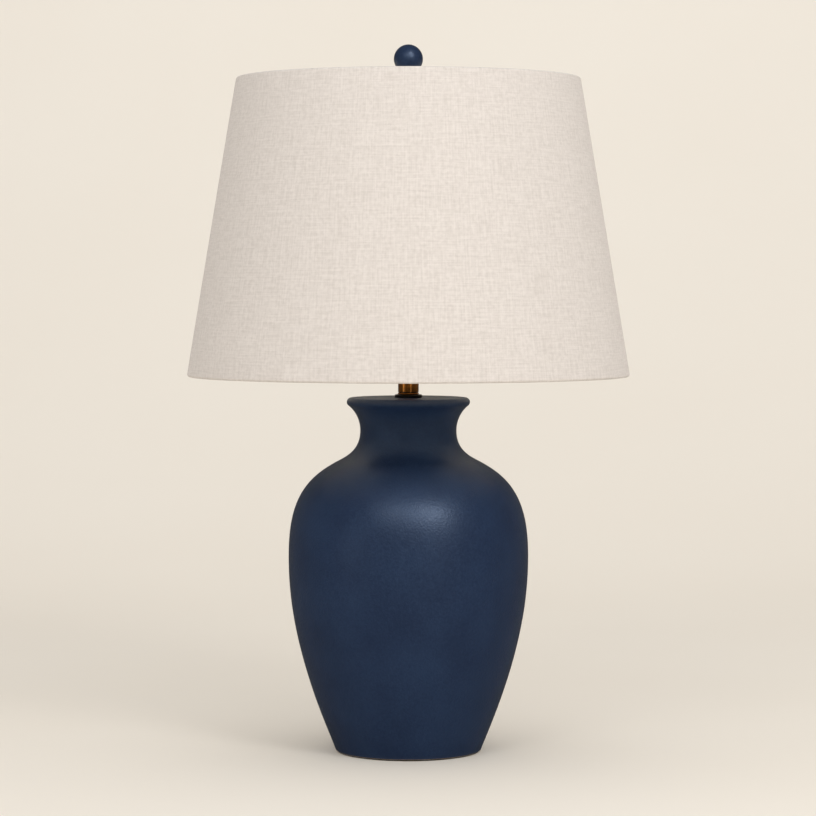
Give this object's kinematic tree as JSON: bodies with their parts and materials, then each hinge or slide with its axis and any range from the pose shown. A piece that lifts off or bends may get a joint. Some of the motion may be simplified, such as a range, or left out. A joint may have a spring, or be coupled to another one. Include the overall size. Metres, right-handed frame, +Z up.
{
  "type": "table lamp",
  "caption": "Table lamp: glazed navy vase base, bronze neck tube, turn-key socket and harp, tapered oatmeal linen shade held by a ball finial.",
  "frame": {"origin": "on the supporting surface, under the middle of the foot, on the lamp's axis", "axes": "+Z up along the lamp's axis; the switch key points to the front, -Y; the cord outlet is at the back, +Y; the harp's loop lies in the XZ plane"},
  "size_m": [0.4572, 0.457, 0.7317],
  "materials": {
    "navy_glaze": "satin navy glaze over stoneware",
    "felt": "pressed wool felt",
    "grommet": "moulded black rubber",
    "zinc_steel": "zinc-plated steel",
    "check_ring": "blackened bronze",
    "bronze_brass": "antique bronze plating on brass",
    "bronze_steel": "antique bronze plating on steel",
    "socket_core": "moulded phenolic",
    "socket_liner": "vulcanised fibre",
    "bare_brass": "bare brass",
    "switch_key": "moulded black",
    "bulb_cap": "plain aluminium",
    "bulb_insulator": "black glass",
    "bulb_body": "white moulding",
    "bulb_globe": "frosted, translucent",
    "frame_wire": "white powder coat on steel wire",
    "shade_backing": "translucent styrene sheet",
    "linen": "oatmeal slub linen",
    "ball_glaze": "satin navy glaze"
  },
  "bodies": {
    "base": {"felt_ring": "felt", "vase": "navy_glaze", "cord_grommet": "grommet", "lamp_pipe": "zinc_steel", "base_washer": "zinc_steel", "lock_washer": "zinc_steel", "base_nut": "zinc_steel", "check_ring": "check_ring", "neck_tube": "bronze_brass", "harp_saddle": "bronze_steel", "socket_cap": "bronze_brass", "set_screw": "zinc_steel", "socket_core": "socket_core", "terminal_screws": "bare_brass", "screw_shell": "bare_brass", "centre_contact": "bare_brass", "socket_liner": "socket_liner", "socket_shell": "bronze_brass"},
    "switch": {"switch_shaft": "zinc_steel", "switch_key": "switch_key"},
    "bulb": {"bulb_contact": "bare_brass", "bulb_insulator": "bulb_insulator", "bulb_cap": "bulb_cap", "bulb_body": "bulb_body", "bulb_globe": "bulb_globe"},
    "harp": {"harp": "bronze_steel"},
    "ferrule_left": {"ferrule_left": "bronze_brass"},
    "ferrule_right": {"ferrule_right": "bronze_brass"},
    "stud": {"swivel_stud": "bare_brass"},
    "shade": {"shade_spider": "frame_wire", "shade_bottom_ring": "frame_wire", "shade_backing": "shade_backing", "shade_linen": "linen"},
    "finial": {"finial_base": "bare_brass", "finial_ball": "ball_glaze"}
  },
  "joints": [
    {"name": "switch_turn", "type": "hinge", "parent": "base", "child": "switch", "pos_m": [0, -0.02, 0.4365], "axis": [0, -1, 0], "continuous": true},
    {"name": "bulb_out", "type": "slide", "parent": "base", "child": "bulb", "axis": [0, 0, 1], "range_m": [0, 0.06]},
    {"name": "harp_lift", "type": "slide", "parent": "base", "child": "harp", "axis": [0, 0, 1], "range_m": [0, 0.045]},
    {"name": "ferrule_left_lift", "type": "slide", "parent": "harp", "child": "ferrule_left", "axis": [0, 0, 1], "range_m": [0, 0.014]},
    {"name": "ferrule_right_lift", "type": "slide", "parent": "harp", "child": "ferrule_right", "axis": [0, 0, 1], "range_m": [0, 0.014]},
    {"name": "shade_swivel", "type": "hinge", "parent": "harp", "child": "stud", "pos_m": [0, 0, 0.6828], "axis": [0, 0, 1], "continuous": true},
    {"name": "shade_lift", "type": "slide", "parent": "stud", "child": "shade", "axis": [0, 0, 1], "range_m": [0, 0.33]},
    {"name": "finial_lift", "type": "slide", "parent": "shade", "child": "finial", "axis": [0, 0, 1], "range_m": [0, 0.03]}
  ]
}
